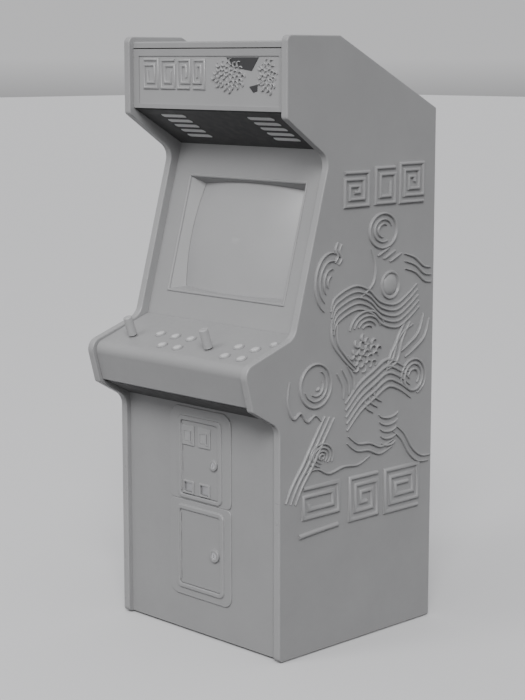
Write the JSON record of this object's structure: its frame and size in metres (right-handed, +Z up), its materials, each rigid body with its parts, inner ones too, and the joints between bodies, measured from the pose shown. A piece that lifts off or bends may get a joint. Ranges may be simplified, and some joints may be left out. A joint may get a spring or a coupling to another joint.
{
  "type": "arcade cabinet",
  "caption": "Upright two-player arcade game cabinet with marquee, recessed screen, joysticks, push buttons, coin doors and a rear service door.",
  "frame": {"origin": "middle of the footprint, on the floor", "axes": "+Z up, -Y is the front that the players face, +X to the right seen from the front"},
  "size_m": [0.683, 0.7735, 1.75],
  "materials": {
    "board_side": "grey laminate, satin",
    "edge_trim": "soft satin",
    "relief": "satin, raised pattern",
    "board_front": "grey laminate, satin",
    "board_raw": "plain board",
    "board_back": "painted board",
    "screw_steel": "zinc plated",
    "foot_steel": "zinc plated",
    "marquee": "satin sheet, raised pattern",
    "trim_metal": "satin paint",
    "lamp": "white enamel",
    "board_under": "dark laminate, satin",
    "grille": "satin paint",
    "speaker": "black frame",
    "bezel": "satin moulding",
    "screen_glass": "polished, backed by phosphor",
    "chassis": "zinc grey",
    "circuit": "circuit board",
    "deck_metal": "satin powder coat",
    "hinge_steel": "plain steel",
    "button_rim": "glossy moulding",
    "switch": "black moulding",
    "stick_body": "zinc plated",
    "washer": "satin moulding",
    "door_frame": "satin paint",
    "door_metal": "satin paint",
    "coin_metal": "satin cast metal",
    "mech": "plated steel",
    "lock_metal": "worn chrome",
    "box_steel": "galvanised",
    "supply_case": "brushed",
    "inlet_plate": "brushed plate",
    "rocker": "glossy moulding",
    "button_cap": "glossy moulding",
    "gimbal": "black moulding",
    "stick": "glossy grip on a steel shaft",
    "flap": "plain steel",
    "reject": "glossy moulding"
  },
  "bodies": {
    "cabinet": {"side_panel_left": "board_side", "side_panel_right": "board_side", "t_moldings": "edge_trim", "side_art": "relief", "front_panel": "board_front", "bottom_board": "board_raw", "back_panel": "board_back", "top_panel": "board_front", "roof_panel": "board_front", "screws": "screw_steel", "levelling_feet": "foot_steel", "marquee_panel": "marquee", "marquee_retainers": "trim_metal", "marquee_light": "lamp", "speaker_panel": "board_under", "speaker_grilles": "grille", "speakers": "speaker", "monitor_bezel": "bezel", "crt_tube": "screen_glass", "monitor_chassis": "chassis", "monitor_board": "circuit", "control_shelf": "board_under", "fixed_hinges": "hinge_steel", "coin_frames": "door_frame", "cash_box": "box_steel", "game_board": "circuit", "power_supply": "supply_case", "power_inlet": "inlet_plate"},
    "control_deck": {"control_panel": "deck_metal", "button_housings": "button_rim", "microswitches": "switch", "joystick_housings": "stick_body", "dust_washers": "washer"},
    "coin_door_assembly": {"coin_door": "door_metal", "coin_bezels": "coin_metal", "coin_mechs": "mech"},
    "cash_door": {"cash_door": "door_metal"},
    "coin_lock": {"coin_lock": "lock_metal"},
    "cash_lock": {"cash_lock": "lock_metal"},
    "rear_door": {"rear_door": "board_back"},
    "rear_lock": {"rear_lock": "lock_metal"},
    "power_rocker": {"power_rocker": "rocker"},
    "button_1a": {"button_1a": "button_cap"},
    "button_1b": {"button_1b": "button_cap"},
    "button_1c": {"button_1c": "button_cap"},
    "button_1d": {"button_1d": "button_cap"},
    "button_1e": {"button_1e": "button_cap"},
    "button_2a": {"button_2a": "button_cap"},
    "button_2b": {"button_2b": "button_cap"},
    "button_2c": {"button_2c": "button_cap"},
    "button_2d": {"button_2d": "button_cap"},
    "start_button": {"start_button": "button_cap"},
    "gimbal_left": {"gimbal_left": "gimbal"},
    "joystick_left": {"joystick_left": "stick"},
    "gimbal_right": {"gimbal_right": "gimbal"},
    "joystick_right": {"joystick_right": "stick"},
    "reject_button_left": {"reject_button_left": "reject"},
    "return_flap_left": {"return_flap_left": "flap"},
    "reject_button_right": {"reject_button_right": "reject"},
    "return_flap_right": {"return_flap_right": "flap"}
  },
  "joints": [
    {"name": "control_panel_tilt", "type": "hinge", "parent": "cabinet", "child": "control_deck", "pos_m": [0, -0.3478, 0.75621], "axis": [1, 0, 0], "range_deg": [0, 55]},
    {"name": "button_1a_press", "type": "slide", "parent": "control_deck", "child": "button_1a", "axis": [0, 0.3337, -0.9427], "range_m": [0, 0.003], "stiffness_N_per_m": 300, "springref_m": -0.004},
    {"name": "button_1b_press", "type": "slide", "parent": "control_deck", "child": "button_1b", "axis": [0, 0.3337, -0.9427], "range_m": [0, 0.003], "stiffness_N_per_m": 300, "springref_m": -0.004},
    {"name": "button_1c_press", "type": "slide", "parent": "control_deck", "child": "button_1c", "axis": [0, 0.3337, -0.9427], "range_m": [0, 0.003], "stiffness_N_per_m": 300, "springref_m": -0.004},
    {"name": "button_1d_press", "type": "slide", "parent": "control_deck", "child": "button_1d", "axis": [0, 0.3337, -0.9427], "range_m": [0, 0.003], "stiffness_N_per_m": 300, "springref_m": -0.004},
    {"name": "button_1e_press", "type": "slide", "parent": "control_deck", "child": "button_1e", "axis": [0, 0.3337, -0.9427], "range_m": [0, 0.003], "stiffness_N_per_m": 300, "springref_m": -0.004},
    {"name": "button_2a_press", "type": "slide", "parent": "control_deck", "child": "button_2a", "axis": [0, 0.3337, -0.9427], "range_m": [0, 0.003], "stiffness_N_per_m": 300, "springref_m": -0.004},
    {"name": "button_2b_press", "type": "slide", "parent": "control_deck", "child": "button_2b", "axis": [0, 0.3337, -0.9427], "range_m": [0, 0.003], "stiffness_N_per_m": 300, "springref_m": -0.004},
    {"name": "button_2c_press", "type": "slide", "parent": "control_deck", "child": "button_2c", "axis": [0, 0.3337, -0.9427], "range_m": [0, 0.003], "stiffness_N_per_m": 300, "springref_m": -0.004},
    {"name": "button_2d_press", "type": "slide", "parent": "control_deck", "child": "button_2d", "axis": [0, 0.3337, -0.9427], "range_m": [0, 0.003], "stiffness_N_per_m": 300, "springref_m": -0.004},
    {"name": "start_button_press", "type": "slide", "parent": "control_deck", "child": "start_button", "axis": [0, 0.3337, -0.9427], "range_m": [0, 0.003], "stiffness_N_per_m": 300, "springref_m": -0.004},
    {"name": "stick_left_fore_aft", "type": "hinge", "parent": "control_deck", "child": "gimbal_left", "pos_m": [-0.224, -0.30037, 0.85916], "axis": [1, 0, 0], "range_deg": [-8, 8], "stiffness_Nm_per_rad": 1.2},
    {"name": "stick_left_sideways", "type": "hinge", "parent": "gimbal_left", "child": "joystick_left", "pos_m": [-0.224, -0.30037, 0.85916], "axis": [0, 0.9427, 0.3337], "range_deg": [-8, 8], "stiffness_Nm_per_rad": 1.2},
    {"name": "stick_right_fore_aft", "type": "hinge", "parent": "control_deck", "child": "gimbal_right", "pos_m": [0.105, -0.30037, 0.85916], "axis": [1, 0, 0], "range_deg": [-8, 8], "stiffness_Nm_per_rad": 1.2},
    {"name": "stick_right_sideways", "type": "hinge", "parent": "gimbal_right", "child": "joystick_right", "pos_m": [0.105, -0.30037, 0.85916], "axis": [0, 0.9427, 0.3337], "range_deg": [-8, 8], "stiffness_Nm_per_rad": 1.2},
    {"name": "coin_door_swing", "type": "hinge", "parent": "cabinet", "child": "coin_door_assembly", "pos_m": [-0.0766, -0.25, 0.533], "axis": [0, 0, -1], "range_deg": [0, 110]},
    {"name": "cash_door_swing", "type": "hinge", "parent": "cabinet", "child": "cash_door", "pos_m": [-0.0846, -0.25, 0.2605], "axis": [0, 0, -1], "range_deg": [0, 110]},
    {"name": "coin_lock_turn", "type": "hinge", "parent": "coin_door_assembly", "child": "coin_lock", "pos_m": [0.062, -0.25, 0.527], "axis": [0, -1, 0], "range_deg": [0, 90]},
    {"name": "cash_lock_turn", "type": "hinge", "parent": "cash_door", "child": "cash_lock", "pos_m": [0.064, -0.25, 0.258], "axis": [0, -1, 0], "range_deg": [0, 90]},
    {"name": "reject_left_press", "type": "slide", "parent": "coin_door_assembly", "child": "reject_button_left", "axis": [0, 1, 0], "range_m": [0, 0.004], "stiffness_N_per_m": 250, "springref_m": -0.005},
    {"name": "return_flap_left_swing", "type": "hinge", "parent": "coin_door_assembly", "child": "return_flap_left", "pos_m": [-0.0475, -0.2465, 0.457], "axis": [1, 0, 0], "range_deg": [0, 45]},
    {"name": "reject_right_press", "type": "slide", "parent": "coin_door_assembly", "child": "reject_button_right", "axis": [0, 1, 0], "range_m": [0, 0.004], "stiffness_N_per_m": 250, "springref_m": -0.005},
    {"name": "return_flap_right_swing", "type": "hinge", "parent": "coin_door_assembly", "child": "return_flap_right", "pos_m": [0.0215, -0.2465, 0.457], "axis": [1, 0, 0], "range_deg": [0, 45]},
    {"name": "rear_door_swing", "type": "hinge", "parent": "cabinet", "child": "rear_door", "pos_m": [-0.234, 0.3802, 0.715], "axis": [0, 0, 1], "range_deg": [0, 110]},
    {"name": "rear_lock_turn", "type": "hinge", "parent": "rear_door", "child": "rear_lock", "pos_m": [0.205, 0.37, 0.7], "axis": [0, -1, 0], "range_deg": [0, 90]},
    {"name": "power_rocker_tip", "type": "hinge", "parent": "cabinet", "child": "power_rocker", "pos_m": [0.2, 0.374, 0.199], "axis": [1, 0, 0], "range_deg": [0, 20]}
  ]
}
